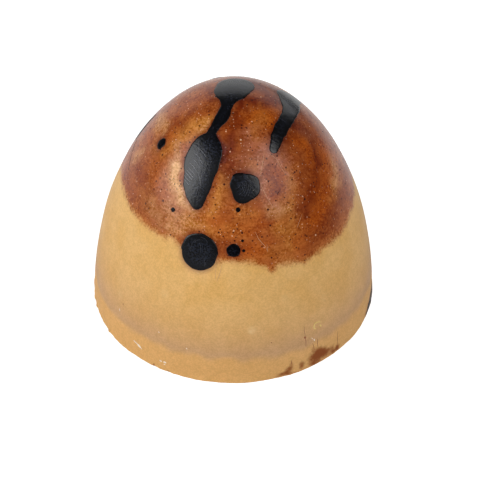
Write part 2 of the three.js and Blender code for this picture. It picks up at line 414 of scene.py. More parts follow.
# %% Strokes for the unseen back
BACK_STROKES = 26
BACK_BEARINGS = (118, 242)       # in degrees
BACK_FALLS = (6.5, 14.5)         # in mm
BACK_LENGTHS = (2.0, 5.0)
MOST_CURL = 0.35                 # how much a stroke climbs towards its ends
back_draw = np.random.default_rng(47)
for _ in range(BACK_STROKES):
    kind = back_draw.choice(["golden", "orange", "dark", "dark", "peach"])
    middle = math.radians(back_draw.uniform(*BACK_BEARINGS))
    fall = back_draw.uniform(*BACK_FALLS)
    sweep = back_draw.uniform(*BACK_LENGTHS) / max(fall, 4)
    curl = back_draw.uniform(-MOST_CURL, MOST_CURL)
    turns = middle + sweep * np.linspace(-0.5, 0.5, 4)
    falls = fall * (1 + curl * np.array([-0.3, 0.05, 0.05, -0.3]))
    route = [(float(f * np.sin(t)), float(f * np.cos(t))) for t, f in zip(turns, falls)]
    strength, width = back_draw.uniform(0.45, 0.95), back_draw.uniform(0.5, 1.1)
    STROKES[str(kind)].append((strength, width, route))
print({kind: len(strokes) for kind, strokes in STROKES.items()})

# %% [markdown]
# ## Where the brown coat ends, and the stains at the foot
#
# The coat's lower edge wanders round the dome and is feathered. Its height is given at a few
# bearings, and the shell keeps the distance to it, so that the material can feather the edge as
# finely as it likes. A second set of marks is brown colour that ran down to the foot at the lower
# right.

# %% Edge of the coat and the foot's stains
# bearing in degrees: height of the coat's lower edge in mm
COAT_EDGE = {
    -165: 13.4, -135: 12.7, -110: 13.6, -90: 14.6, -78: 14.8, -60: 14.5, -45: 14.45, -34: 14.5,
    -26: 14.3, -20: 14.0, -6: 13.5, 5: 13.6, 11: 13.3, 15: 12.8, 17: 12.2, 20: 12.7, 29: 12.6,
    34: 12.1, 45: 12.55, 63: 12.4, 73: 12.6, 84: 12.8, 95: 13.0, 115: 13.2, 140: 12.6, 168: 13.6,
}
# bearing in degrees, height, half width across, half height, strength
STAINS = [
    (36.8, 1.2, 1.0, 0.8, 0.95), (35.2, 0.5, 1.0, 0.7, 0.6), (33.2, 1.1, 0.5, 0.9, 0.55),
    (40.6, 0.85, 1.2, 0.6, 0.64), (44.2, 0.45, 0.9, 0.32, 0.58), (34.3, 2.0, 0.4, 0.6, 0.42),
    (46.8, 0.5, 0.4, 0.4, 0.75), (23.9, 1.3, 0.25, 0.4, 0.5), (22.8, 0.8, 0.5, 0.4, 0.68),
    (21.0, 0.4, 0.8, 0.3, 0.66), (28.5, 0.75, 0.36, 0.6, 0.58), (19.0, 0.25, 0.7, 0.16, 0.45),
    (25.5, 0.15, 1.5, 0.14, 0.35), (-33.8, 0.17, 0.16, 0.2, 0.8), (-26.9, 0.12, 0.16, 0.16, 0.7),
    (158.0, 0.6, 0.9, 0.5, 0.8), (163.0, 1.1, 0.3, 0.5, 0.6), (-128.0, 0.4, 1.0, 0.3, 0.7),
]
STAIN_SHARPNESS = 1.15
# bearing in degrees, height, radius, strength of soft whitish spots
BLOOM_SPOTS = [
    (7.3, 6.44, 0.42, 0.5), (-31.0, 9.2, 0.5, 0.16), (41.0, 7.6, 0.45, 0.14),
    (-55.0, 6.0, 0.4, 0.14), (22.0, 9.4, 0.4, 0.12), (150.0, 7.2, 0.45, 0.4),
    (-128.0, 8.4, 0.5, 0.2), (112.0, 5.6, 0.4, 0.16),
]


def coat_edge_fall(bearing):
    heights = list(COAT_EDGE.values())
    edge_height = np.interp(np.degrees(bearing), list(COAT_EDGE), heights, period=360)
    return fall_at(edge_height)


def stain(bearing, height):
    """How strongly the foot is stained brown, 0 to 1."""
    return np.max([
        amount * spot(bearing, height, *oval, sharpness=STAIN_SHARPNESS) for *oval, amount in STAINS
    ], axis=0)


def bloom(bearing, height):
    """How strongly the wall is bloomed, 0 to 1."""
    return np.max([
        amount * spot(bearing, height, *middle, radius, radius)
        for *middle, radius, amount in BLOOM_SPOTS
    ], axis=0)


# %% [markdown]
# ## The shell as one mesh
#
# A lathe or a sphere would give the form, but the strokes and the relief need vertices all over,
# about a fifth of a millimetre apart. So the mesh is built ring by ring: a fan at the tip, the
# wall, a tiny round edge at the foot, and the flat cap underneath, all closed into one skin.

# %% Build the rings of the shell
SHELL_SIDES = 480
WALL_RINGS = 172
EDGE_RADIUS = 0.12               # the foot's edge is rounded by this much
EDGE_RINGS = 5
CAP_RINGS = 40
RING_CROWDING = 0.055            # rings stand closer together at the tip and at the foot
CAP_RADIUS = 12.5                # the cap's joint with the shell, under the base
CAP_GROOVE = 0.1
CAP_GROOVE_WIDTH = 0.16
CAP_EDGE = 0.1                   # how soft the cap's outline is
CAP_HOLLOW = 0.05                # the cap sinks by this much as it sets
SCRAPER_MARKS = 0.012
SCRAPER_STRETCH = (0.25, 3.0, 1.0)  # the marks run from left to right


def wall_rings():
    """Falls of the wall's rings, closer together at the tip and at the foot."""
    last = fall_at(EDGE_RADIUS)
    even = np.linspace(0, 1, WALL_RINGS + 1)[1:]
    return last * (even + RING_CROWDING * np.sin(2 * math.pi * even) / math.pi)


def cap_height(radius, points):
    """Height of the underside over the table at a radius, with the scraper's faint marks."""
    joint = CAP_GROOVE * np.exp(-(((radius - CAP_RADIUS) / CAP_GROOVE_WIDTH) ** 2))
    inside = 1 / (1 + np.exp((radius - CAP_RADIUS) / CAP_EDGE))
    marks = SCRAPER_MARKS * waves(points * SCRAPER_STRETCH, 2.6, 31) * inside
    return joint + inside * (CAP_HOLLOW + marks)


def shell_rows(bearing):
    """Every ring of the shell as points in mm, from the first ring below the tip to the cap."""
    rows = []
    for fall in wall_rings():
        rows.append(on_shell(bearing, np.full_like(bearing, fall)))
    last = rows[-1]
    radial = np.stack([np.sin(bearing), -np.cos(bearing), np.zeros_like(bearing)], axis=1)
    for ring in range(1, EDGE_RINGS + 1):
        turn = (math.pi / 2) * ring / EDGE_RINGS
        row = last - radial * EDGE_RADIUS * (1 - math.cos(turn))
        row[:, 2] = EDGE_RADIUS * (1 - math.sin(turn))
        rows.append(row)
    rim = rows[-1]
    for ring in range(1, CAP_RINGS):
        row = rim * (1 - ring / CAP_RINGS)
        row[:, 2] = cap_height(np.hypot(row[:, 0], row[:, 1]), row)
        rows.append(row)
    return rows


ring_bearings = np.linspace(-math.pi, math.pi, SHELL_SIDES, endpoint=False)
rings = shell_rows(ring_bearings)
print(len(rings), "rings of", SHELL_SIDES, "points")

# %% [markdown]
# The rings become one closed mesh. A loop over rings joins each to the next with four-sided faces,
# and two fans close the tip and the middle of the cap. A helper makes every object of this file, so
# that each mesh is checked in the same way: all edges have two faces, and all faces point outward.


# %% A helper that makes and checks an object
def make_object(name, points, faces, material=None):
    """A closed mesh object from points in mm and faces, with outward faces."""
    mesh = bpy.data.meshes.new(name)
    mesh.from_pydata((np.asarray(points) * MM).tolist(), [], faces)
    work = bmesh.new()
    work.from_mesh(mesh)
    bmesh.ops.recalc_face_normals(work, faces=work.faces)
    open_edges = sum(1 for edge in work.edges if len(edge.link_faces) != 2)
    work.to_mesh(mesh)
    work.free()
    mesh.polygons.foreach_set("use_smooth", [True] * len(mesh.polygons))
    made = bpy.data.objects.new(name, mesh)
    bpy.context.collection.objects.link(made)
    if material:
        mesh.materials.append(material)
    counts = len(mesh.vertices), "vertices,", len(mesh.polygons), "faces,", open_edges, "open edges"
    print(name, *counts)
    return made


def keep_values(made, values):
    """Stores named numbers on the vertices, for the material to read."""
    for name, numbers in values.items():
        layer = made.data.attributes.new(name, "FLOAT", "POINT")
        layer.data.foreach_set("value", np.asarray(numbers, np.float32))


# %% Join the rings into the shell
def ring_faces(first, second, sides):
    """Four-sided faces between two rings that start at these vertex numbers."""
    pairs = [(i, (i + 1) % sides) for i in range(sides)]
    return [(first + i, first + after, second + after, second + i) for i, after in pairs]


tip_point = on_shell(np.zeros(1), np.zeros(1))
cap_point = np.array([[0.0, 0.0, CAP_HOLLOW]])
shell_points = np.concatenate([tip_point, *rings, cap_point])
shell_faces = []
for ring in range(len(rings) - 1):
    start = 1 + ring * SHELL_SIDES
    shell_faces += ring_faces(start, start + SHELL_SIDES, SHELL_SIDES)
last_ring = 1 + (len(rings) - 1) * SHELL_SIDES
for i in range(SHELL_SIDES):
    after = (i + 1) % SHELL_SIDES
    shell_faces.append((0, 1 + after, 1 + i))
    shell_faces.append((last_ring + i, last_ring + after, len(shell_points) - 1))

shell = make_object("chocolate_shell", shell_points, shell_faces)

# %% Work out the finish of every vertex of the shell
STROKE_DRIFT = 0.18              # the strokes' routes are bent by up to about this much
STROKE_DRIFT_SIZE = 1.9
BAND_WAVER = 0.12                # the band's upper edge wanders by this much
BAND_WAVER_SIZE = 2.4
BAND_FEATHER = 0.2
BAND_FAINT_BEARING = 42          # in degrees: the band is fainter round here
BAND_FAINT_TURN = 0.6            # and this far to both sides, in radians
BAND_FAINTNESS = 0.4
SHADE_HEIGHT = 3.0               # the painted shade over the band fades out over this height

wall_ring_falls = wall_rings()
under_rings = len(rings) - len(wall_ring_falls)
falls_by_ring = np.concatenate([wall_ring_falls, np.full(under_rings, FALL_TO_FOOT)])
vertex_fall = np.concatenate([[0.0], np.repeat(falls_by_ring, SHELL_SIDES), [FALL_TO_FOOT]])
vertex_bearing = np.concatenate([[0.0], np.tile(ring_bearings, len(rings)), [0.0]])
vertex_height = height_at(vertex_fall)
under_start = 1 + (len(wall_ring_falls) + EDGE_RINGS) * SHELL_SIDES
vertex_under = np.zeros(len(shell_points))
vertex_under[under_start:] = 1.0

drifted = drift(shell_points, STROKE_DRIFT, STROKE_DRIFT_SIZE, 21)
finish = {"coat": coat_edge_fall(vertex_bearing) - vertex_fall}
for kind, strokes in STROKES.items():
    strength = np.zeros(len(shell_points))
    for amount, width, route in strokes:
        strength = np.maximum(strength, amount * brush(drifted, width, route))
    finish[kind] = strength
band_edge = BAND_HEIGHT + BAND_WAVER * waves(shell_points, BAND_WAVER_SIZE, 41)
finish["band"] = 1 / (1 + np.exp((vertex_height - band_edge) / BAND_FEATHER))
faint = np.exp(-((bearing_gap(vertex_bearing, BAND_FAINT_BEARING) / BAND_FAINT_TURN) ** 2))
finish["band"] *= 1 - BAND_FAINTNESS * faint
over_band = (vertex_height - band_edge).clip(0)
# painted shade: the wall just over the band is darker and greyer, fading out upward, for the dimmer
# light low on the wall
finish["shade"] = (1 - finish["band"]) * np.exp(-(over_band / SHADE_HEIGHT))
finish["stain"] = stain(vertex_bearing, vertex_height) * (1 - vertex_under)
finish["bloom"] = bloom(vertex_bearing, vertex_height) * (1 - vertex_under)
finish["fall"] = vertex_fall
finish["under"] = vertex_under
keep_values(shell, finish)
print("each vertex keeps", list(finish))

# %% [markdown]
# ## Materials as recipes of nodes
#
# A material is a small graph of nodes. Writing the nodes out one at a time is long, so a few
# helpers add a node and join its inputs in one line: a value that is another node's output is
# joined, and a plain number or colour is set on the socket.


# %% Helpers for node graphs
def shown_colour(red, green, blue):
    """A colour given as it shows on a screen, 0 to 255, in the linear values that nodes use."""
    parts = [part / 255 for part in (red, green, blue)]
    curve = [((part + 0.055) / 1.055) ** 2.4 for part in parts]
    linear = [on if part > 0.04045 else part / 12.92 for part, on in zip(parts, curve)]
    return (*linear, 1.0)


def new_material(name):
    """A material with its tree and its main shader."""
    material = bpy.data.materials.new(name)
    material.use_nodes = True
    tree = material.node_tree
    return material, tree, tree.nodes["Principled BSDF"]


def join(tree, socket, value):
    """Joins a node's output to a socket, or sets the socket to a plain value."""
    if isinstance(value, bpy.types.NodeSocket):
        tree.links.new(value, socket)
    else:
        socket.default_value = value


def add_node(tree, kind, inputs=None, **settings):
    """A node of this kind with its settings and inputs made."""
    node = tree.nodes.new("ShaderNode" + kind)
    for name, value in settings.items():
        setattr(node, name, value)
    for name, value in (inputs or {}).items():
        join(tree, node.inputs[name], value)
    return node


def calculate(tree, operation, first, second=0.0, third=0.0):
    """One arithmetic step."""
    return add_node(tree, "Math", {0: first, 1: second, 2: third}, operation=operation).outputs[0]


def times(tree, first, second):
    return calculate(tree, "MULTIPLY", first, second)


def larger(tree, first, second):
    return calculate(tree, "MAXIMUM", first, second)


def blend_colours(tree, share, first, second, how="MIX"):
    """The first colour going over to the second by a share (6 and 7 are the colour sockets)."""
    inputs = {0: share, 6: first, 7: second}
    return add_node(tree, "Mix", inputs, data_type="RGBA", blend_type=how).outputs[2]


def darken(tree, amount, colour, tint):
    """The colour multiplied by a tint, by an amount."""
    return blend_colours(tree, amount, colour, tint, "MULTIPLY")


def blend_values(tree, share, first, second):
    """As blend_colours, but for plain numbers (2 and 3 are the sockets for those)."""
    return add_node(tree, "Mix", {0: share, 2: first, 3: second}, data_type="FLOAT").outputs[0]


def ease(tree, value, low, high):
    """0 below low, 1 above high, and smooth between."""
    inputs = {"Value": value, "From Min": low, "From Max": high, "To Min": 0.0, "To Max": 1.0}
    return add_node(tree, "MapRange", inputs, interpolation_type="SMOOTHSTEP").outputs[0]


def stored(tree, name):
    return add_node(tree, "Attribute", attribute_name=name).outputs["Fac"]


def place_in_mm(tree):
    """The point of the object in mm, so that a texture's scale can be read as marks per mm."""
    point = add_node(tree, "TexCoord").outputs["Object"]
    per_metre = [1 / MM] * 3
    return add_node(tree, "VectorMath", {0: point, 1: per_metre}, operation="MULTIPLY").outputs[0]


def place_round(tree, turns, per_fall):
    """A place that changes slowly round the dome and fast down it: noise there is streaks."""
    point = add_node(tree, "TexCoord").outputs["Object"]
    flat = add_node(tree, "VectorMath", {0: point, 1: (1, 1, 0)}, operation="MULTIPLY").outputs[0]
    around = add_node(tree, "VectorMath", {0: flat}, operation="NORMALIZE").outputs[0]
    around = add_node(tree, "VectorMath", {0: around, 3: turns}, operation="SCALE").outputs[0]
    down = times(tree, stored(tree, "fall"), per_fall)
    down = add_node(tree, "CombineXYZ", {"Z": down}).outputs[0]
    return add_node(tree, "VectorMath", {0: around, 1: down}, operation="ADD").outputs[0]


def grain(tree, place, per_mm, detail=2.0, roughness=0.5):
    """Cloudy noise from 0 to 1, with this many humps in a millimetre."""
    inputs = {"Vector": place, "Scale": per_mm, "Detail": detail, "Roughness": roughness}
    return add_node(tree, "TexNoise", inputs).outputs["Fac"]


SPECK_EDGE = 0.45                # the soft edge of a speck, as a share of its radius


def specks(tree, place, per_mm, radius, share):
    """Round specks from 0 to 1: so many cells per mm, a share of which hold one of this radius."""
    cells = add_node(tree, "TexVoronoi", {"Vector": place, "Scale": per_mm, "Randomness": 1.0})
    chance = add_node(tree, "SeparateColor", {"Color": cells.outputs["Color"]}).outputs[0]
    size = times(tree, ease(tree, chance, 1 - share, 1.0), radius * per_mm)
    inside = calculate(tree, "SUBTRACT", size, cells.outputs["Distance"])
    return ease(tree, inside, 0.0, radius * per_mm * SPECK_EDGE)


# %% [markdown]
# ## The shell's material
#
# Three layers of the real thing are mixed here. The bare chocolate is caramel brown, with painted
# shade that makes it duller and greyer just above the foot's band. The brown coat lies over it down
# to its feathered edge, with each kind of stroke blended in where the vertices say so. Fine grain,
# dark pinholes and pale specks go on last, and they are kept fine and irregular, because an even
# pattern would look printed.

# %% Colours of the chocolate
CARAMEL = shown_colour(247, 198, 126)
CARAMEL_SHADED = shown_colour(206, 161, 126)
CARAMEL_BAND = shown_colour(238, 184, 116)
COAT = shown_colour(201, 117, 58)
COAT_DEEP = shown_colour(182, 93, 40)
COAT_GOLDEN = shown_colour(223, 149, 74)
COAT_ORANGE = shown_colour(210, 106, 20)
COAT_DARK = shown_colour(132, 48, 6)
COAT_PEACH = shown_colour(255, 202, 147)
COAT_RIM = shown_colour(214, 138, 70)
COAT_VEIL_AND_REFLECTION = shown_colour(218, 146, 122)
COAT_PLUM = shown_colour(124, 66, 62)
STAIN_BROWN = shown_colour(146, 76, 26)
PINHOLE = shown_colour(58, 16, 8)
PALE_SPECK = shown_colour(246, 200, 162)
FLECK_SHADE = shown_colour(226, 168, 126)
CAP_COLOUR = shown_colour(222, 176, 108)
CARAMEL_CLOUD = shown_colour(241, 189, 111)
BLOOM_WHITE = shown_colour(255, 226, 170)
# tints that darken a colour by multiplying it
CARAMEL_MOTTLE = (0.86, 0.83, 0.74, 1)
CARAMEL_GRAIN = (0.88, 0.85, 0.76, 1)
COAT_STREAK = (0.74, 0.62, 0.45, 1)
COAT_SMUDGE = (0.78, 0.66, 0.5, 1)
COAT_MOTTLE = (0.62, 0.44, 0.12, 1)
BLED_BLACK = (0.5, 0.42, 0.6, 1)


def caramel_colour(tree, place):
    """Bare chocolate: caramel with faint clouds and fine grain, and painted shade just over the
    band.
    """
    clouds = ease(tree, grain(tree, place, 0.35, 3.0), 0.35, 0.7)
    colour = blend_colours(tree, clouds, CARAMEL, CARAMEL_CLOUD)
    # painted shade: greyer caramel just over the band
    colour = blend_colours(tree, times(tree, stored(tree, "shade"), 0.95), colour, CARAMEL_SHADED)
    colour = blend_colours(tree, stored(tree, "band"), colour, CARAMEL_BAND)
    mottle = ease(tree, grain(tree, place, 1.6, 4.0, 0.7), 0.36, 0.66)
    colour = darken(tree, times(tree, mottle, 0.5), colour, CARAMEL_MOTTLE)
    fine = ease(tree, grain(tree, place, 6.0, 1.0, 0.7), 0.42, 0.58)
    colour = darken(tree, times(tree, fine, 0.7), colour, CARAMEL_GRAIN)
    clotted = ease(tree, grain(tree, place, 3.0, 3.0, 0.7), 0.25, 0.6)
    bloomed = times(tree, stored(tree, "bloom"), clotted)
    pale = larger(tree, times(tree, specks(tree, place, 1.2, 0.11, 0.2), 0.4), bloomed)
    return blend_colours(tree, pale, colour, BLOOM_WHITE)


# each kind of stroke, its colour, and how far it hides what is under it
STROKE_COLOURS = [
    ("orange", COAT_ORANGE, 1.0), ("golden", COAT_GOLDEN, 1.0), ("dark", COAT_DARK, 0.95),
    ("peach", COAT_PEACH, 0.9), ("veil_and_reflection", COAT_VEIL_AND_REFLECTION, 0.75), ("plum", COAT_PLUM, 0.9),
]


def coat_colour(tree, place, depth):
    """The brown coat with its strokes, streaked along the finger's way."""
    broad = grain(tree, place_round(tree, 3.0, 1.0), 1.0, 4.0, 0.6)
    fine = grain(tree, place_round(tree, 7.0, 5.0), 1.0, 2.0, 0.6)
    uneven = calculate(tree, "MULTIPLY_ADD", grain(tree, place, 0.6, 2.0, 0.5), 0.5, 0.75)
    colour = blend_colours(tree, ease(tree, broad, 0.3, 0.7), COAT, COAT_DEEP)
    for name, stroke_colour, hiding in STROKE_COLOURS:
        strength = times(tree, times(tree, stored(tree, name), uneven), hiding)
        strength = calculate(tree, "MINIMUM", strength, 1.0)
        colour = blend_colours(tree, strength, colour, stroke_colour)
    streaked = times(tree, ease(tree, fine, 0.4, 0.6), 0.4)
    colour = darken(tree, streaked, colour, COAT_STREAK)
    smudged = ease(tree, grain(tree, place, 1.1, 2.0, 0.6), 0.36, 0.64)
    colour = darken(tree, times(tree, smudged, 0.35), colour, COAT_SMUDGE)
    rim = times(tree, ease(tree, depth, 0.9, 0.0), 0.6)
    colour = blend_colours(tree, rim, colour, COAT_RIM)
    patchy = ease(tree, grain(tree, place, 0.8, 2.0, 0.6), 0.38, 0.62)
    mottle = ease(tree, grain(tree, place, 4.5, 2.0, 0.7), 0.35, 0.65)
    mottle = times(tree, mottle, calculate(tree, "MULTIPLY_ADD", patchy, 0.6, 0.55))
    return darken(tree, mottle, colour, COAT_MOTTLE)


def ragged(tree, value, noise, reach):
    """A value with noise from 0 to 1 added to it, up to half the reach either way."""
    centred = calculate(tree, "SUBTRACT", noise, 0.5)
    return calculate(tree, "ADD", value, times(tree, centred, reach))


def coat_depth(tree, place):
    """Distance inside the coat's edge, with the edge made ragged and dusty."""
    depth = ragged(tree, stored(tree, "coat"), grain(tree, place, 0.7, 5.0, 0.72), 1.6)
    return ragged(tree, depth, grain(tree, place, 4.5, 3.0, 0.8), 0.9)


# %% Put the shell's material together
COAT_ROUGHNESS = 0.2
WALL_ROUGHNESS = 0.42
BAND_ROUGHNESS = 0.58
CAP_ROUGHNESS = 0.62
SMEAR_ROUGHNESS = 0.08
SKIN_BUMP = 0.03                 # mm
CHOCOLATE_IOR = 1.33


def shell_material():
    material, tree, shader = new_material("caramel_chocolate")
    place = place_in_mm(tree)
    depth = coat_depth(tree, place)
    covered = ease(tree, depth, -0.4, 0.45)
    bare, coat = caramel_colour(tree, place), coat_colour(tree, place, depth)
    colour = blend_colours(tree, covered, bare, coat)
    stained = ragged(tree, stored(tree, "stain"), grain(tree, place, 2.2, 4.0, 0.65), 0.7)
    colour = blend_colours(tree, ease(tree, stained, 0.06, 0.7), colour, STAIN_BROWN)

    holes = larger(tree, specks(tree, place, 1.2, 0.15, 0.3), specks(tree, place, 2.2, 0.12, 0.6))
    holes = larger(tree, holes, times(tree, specks(tree, place, 3.2, 0.1, 0.6), 0.5))
    holes = times(tree, holes, covered)
    colour = blend_colours(tree, times(tree, holes, 0.95), colour, PINHOLE)
    pale = larger(tree, specks(tree, place, 1.4, 0.12, 0.15), specks(tree, place, 2.6, 0.09, 0.3))
    crowded = ease(tree, grain(tree, place, 0.3, 2.0), 0.4, 0.62)
    faint_pale = times(tree, specks(tree, place, 3.0, 0.1, 0.6), 0.3)
    pale = times(tree, larger(tree, times(tree, pale, crowded), faint_pale), covered)
    colour = blend_colours(tree, times(tree, pale, 0.85), colour, PALE_SPECK)
    colour = darken(tree, times(tree, stored(tree, "fringe"), 0.8), colour, BLED_BLACK)
    under_colour = blend_colours(tree, grain(tree, place, 1.1, 4.0), CAP_COLOUR, CARAMEL_SHADED)
    colour = blend_colours(tree, stored(tree, "under"), colour, under_colour)
    join(tree, shader.inputs["Base Color"], colour)

    roughness = blend_values(tree, stored(tree, "band"), WALL_ROUGHNESS, BAND_ROUGHNESS)
    roughness = blend_values(tree, covered, roughness, COAT_ROUGHNESS)
    roughness = blend_values(tree, stored(tree, "under"), roughness, CAP_ROUGHNESS)
    smear = times(tree, grain(tree, place, 1.7, 4.0, 0.6), SMEAR_ROUGHNESS)
    join(tree, shader.inputs["Roughness"], calculate(tree, "ADD", roughness, smear))

    fine_skin = times(tree, grain(tree, place, 7.0), 0.25)
    skin = calculate(tree, "ADD", grain(tree, place, 1.5, 2.0), fine_skin)
    skin = calculate(tree, "SUBTRACT", skin, times(tree, holes, 0.7))
    skin = calculate(tree, "ADD", skin, times(tree, pale, 0.5))
    bump = {"Height": skin, "Strength": 0.25, "Distance": SKIN_BUMP * MM}
    join(tree, shader.inputs["Normal"], add_node(tree, "Bump", bump).outputs[0])
    shader.inputs["IOR"].default_value = CHOCOLATE_IOR
    shader.inputs["Sheen Weight"].default_value = 0.2
    shader.inputs["Sheen Roughness"].default_value = 0.3
    return material


shell.data.materials.append(shell_material())
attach(shell, "root")
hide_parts("bonbon")

# %% [markdown]
# ## The black drips and drops
#
# Black cocoa butter was dripped into the mould and ran before it set: a blob at the tip has run
# down into a long drop, another run comes over the shoulder, and the rest fell as round drops. A
# drop could be painted on the shell, but its edge would then be only as sharp as the shell's mesh.
# So each is a film of its own, a few hundredths of a millimetre proud with a rounded edge, and its
# outline is a chain of discs that melt into each other.

# %% The drops as chains of discs: (east, south, radius) in mm on the flattened map
DROPS = {
    "long_drip": [
        (0.02, -1.75, 1.84), (-0.34, -0.72, 1.66), (-0.62, 0.55, 0.75), (-0.79, 1.4, 0.49),
        (-1.12, 2.38, 0.6), (-1.4, 2.85, 0.56), (-2.3, 4.1, 0.39), (-3.05, 5.79, 1.59),
        (-3.63, 6.89, 1.73), (-4.32, 8.9, 1.36), (-4.5, 9.8, 0.98), (-4.52, 10.65, 0.6),
    ],
    "right_drip": [
        (6.7, -4.1, 0.75), (5.95, -3.1, 1.12), (5.7, -2.2, 1.35), (5.75, -1.1, 1.12),
        (5.68, 0.0, 0.83), (5.5, 1.0, 0.67), (5.15, 1.9, 0.65), (4.7, 3.0, 0.67), (4.33, 4.1, 0.59),
        (4.1, 5.35, 0.48),
    ],
    "five_sided_drop": [
        (0.16, 8.61, 0.34), (1.76, 9.13, 0.77), (1.88, 9.7, 0.75), (0.95, 10.14, 0.88),
        (0.76, 9.34, 1.09),
    ],
    "round_drop": [(-4.8, 15.4, 1.84), (-4.84, 15.56, 1.75)],
    "small_round_drop": [(-0.1, 15.65, 0.68)],
    "oval_drop": [(-7.86, 2.72, 0.2), (-8.02, 2.82, 0.38), (-8.36, 2.8, 0.4), (-8.42, 3.08, 0.22)],
    "left_streak": [
        (-9.35, -4.05, 0.1), (-10.3, -4.25, 0.22), (-11.3, -4.15, 0.36), (-12.0, -4.1, 0.36),
        (-12.6, -3.75, 0.2),
    ],
    "right_foot_drop": [
        (28.9, 10.0, 0.15), (29.3, 7.9, 0.35), (29.7, 5.2, 0.45), (29.9, 2.6, 0.4),
        (30.0, 0.5, 0.25),
    ],
    "back_drip": [
        (-1.9, -6.4, 0.5), (-2.3, -8.2, 0.75), (-2.9, -10.3, 1.45), (-3.1, -11.8, 1.3),
        (-3.2, -13.3, 0.7),
    ],
    "back_round_drop": [(5.4, -12.6, 1.3)],
    "back_small_drop": [(1.6, -9.4, 0.6)],
    "back_oval_drop": [(6.6, -7.3, 0.4), (6.9, -7.7, 0.35)],
}
FILM_THICKNESS = 0.035
FILM_EDGE = 0.12                 # the film rounds off over this distance
FILM_ROOT = 0.03                 # the film reaches this far into the shell
MELT = 0.12                      # how softly neighbouring discs run together
FILM_STEP = 0.11
FILM_WOBBLE = 0.016
FILM_WOBBLE_SIZE = 0.9
FILM_SINK = 0.003                # the film's edge lies this far under the wall
FILM_TOP = FILM_THICKNESS - FILM_SINK
FILM_LOWEST = FALL_TO_FOOT - 0.2


def film_depth(points, discs):
    """Distance in mm from each point to the drop's outline, positive inside."""
    discs = np.array(discs, float)
    centres = on_dome(*from_map(discs[:, 0], discs[:, 1]))
    radii = discs[:, 2]
    if len(discs) == 1:
        return radii[0] - np.linalg.norm(points - centres[0], axis=1)
    total = np.zeros(len(points))
    for i in range(len(discs) - 1):
        span = centres[i + 1] - centres[i]
        share = np.clip((points - centres[i]) @ span / (span @ span), 0, 1)
        off = np.linalg.norm(points - centres[i] - share[:, None] * span, axis=1)
        total += np.exp((radii[i] + share * (radii[i + 1] - radii[i]) - off) / MELT)
    return MELT * np.log(total)


# %% [markdown]
# A little black has bled into the brown round each drop. That halo is too soft for the film, so the
# shell's vertices keep how near they are to a drop, and the shell's material darkens there.

# %% Note the halo of the drops on the shell
HALO_REACH = 0.3
halo = np.zeros(len(shell_points))
for discs in DROPS.values():
    outside = (-film_depth(shell_points, discs)).clip(0)
    halo = np.maximum(halo, np.exp(-((outside / HALO_REACH) ** 1.5)))
keep_values(shell, {"fringe": halo * (1 - vertex_under)})

# %% [markdown]
# The film's mesh is cut from a fine grid on the flattened map. Cells inside the outline stay whole,
# and cells that it crosses are trimmed along the crossing points, so the edge is smooth. The upper
# and lower skins meet at the outline, which closes the film.


# %% Cut a film's mesh from a grid
def trimmed_cells(depth):
    """Polygons of a grid's cells inside, as corners (i, j) and crossings between two corners."""
    inside = depth > 0
    touched = inside[:-1, :-1] | inside[1:, :-1] | inside[1:, 1:] | inside[:-1, 1:]
    polygons = []
    for i, j in zip(*np.nonzero(touched)):
        corners = [(i, j), (i + 1, j), (i + 1, j + 1), (i, j + 1)]
        polygon = []
        for here, after in zip(corners, corners[1:] + corners[:1]):
            if inside[here]:
                polygon.append(here)
            if inside[here] != inside[after]:
                polygon.append(min(here, after) + max(here, after))
        polygons.append(polygon)
    return polygons


def film_mesh(discs):
    """Points in mm and faces of one closed film."""
    discs_array = np.array(discs, float)
    reach = discs_array[:, 2].max() * 1.3 + 2 * FILM_STEP
    stretch = max(1.0, np.hypot(discs_array[:, 0], discs_array[:, 1]).max() / WALL_RADIUS)
    low = discs_array[:, :2].min(axis=0) - reach * stretch
    high = discs_array[:, :2].max(axis=0) + reach * stretch
    east = np.arange(low[0], high[0], FILM_STEP)
    south = np.arange(low[1], high[1], FILM_STEP)
    grid_east, grid_south = np.meshgrid(east, south, indexing="ij")
    bearing, fall = from_map(grid_east.ravel(), grid_south.ravel())
    grid_points = on_dome(bearing, fall)
    depth = film_depth(grid_points, discs) + FILM_WOBBLE * waves(grid_points, FILM_WOBBLE_SIZE, 61)
    depth = np.minimum(depth, FILM_LOWEST - fall).reshape(grid_east.shape)

    places, depths, number = [], [], {}
    polygons = trimmed_cells(depth)
    for polygon in polygons:
        for key in polygon:
            if key in number:
                continue
            number[key] = len(places)
            if len(key) == 2:
                places.append((east[key[0]], south[key[1]]))
                depths.append(depth[key])
            else:
                first, second = depth[key[:2]], depth[key[2:]]
                share = first / (first - second)
                places.append((
                    east[key[0]] + share * (east[key[2]] - east[key[0]]),
                    south[key[1]] + share * (south[key[3]] - south[key[1]]),
                ))
                depths.append(0.0)
    places, depths = np.array(places), np.array(depths)
    bearing, fall = from_map(places[:, 0], places[:, 1])
    rounding = np.sqrt(1 - (1 - np.clip(depths / FILM_EDGE, 0, 1)) ** 2)
    edge = depths <= 0
    upper = on_shell(bearing, fall, FILM_THICKNESS * rounding - FILM_SINK)
    lower = on_shell(bearing, fall, -FILM_SINK - FILM_ROOT * rounding)
    below = np.where(edge, np.arange(len(places)), len(places) + np.cumsum(~edge) - 1)
    points = np.concatenate([upper, lower[~edge]])
    faces = []
    for polygon in polygons:
        top = [number[key] for key in polygon]
        if len(top) < 3:
            continue
        faces.append(top)
        faces.append([int(below[k]) for k in reversed(top)])
    return points, faces, depths


# %% [markdown]
# ### The black material
#
# The black sets to a soft shine, and fine lines from polishing the mould run down to the right in
# it. They show as faint light brush marks, so the material stretches its noise along that
# direction. Wide drops also have a bluish grain in their middle, so each vertex of a film keeps how
# far it lies inside the edge. Thin drops are duller, so one recipe is made with three shines.

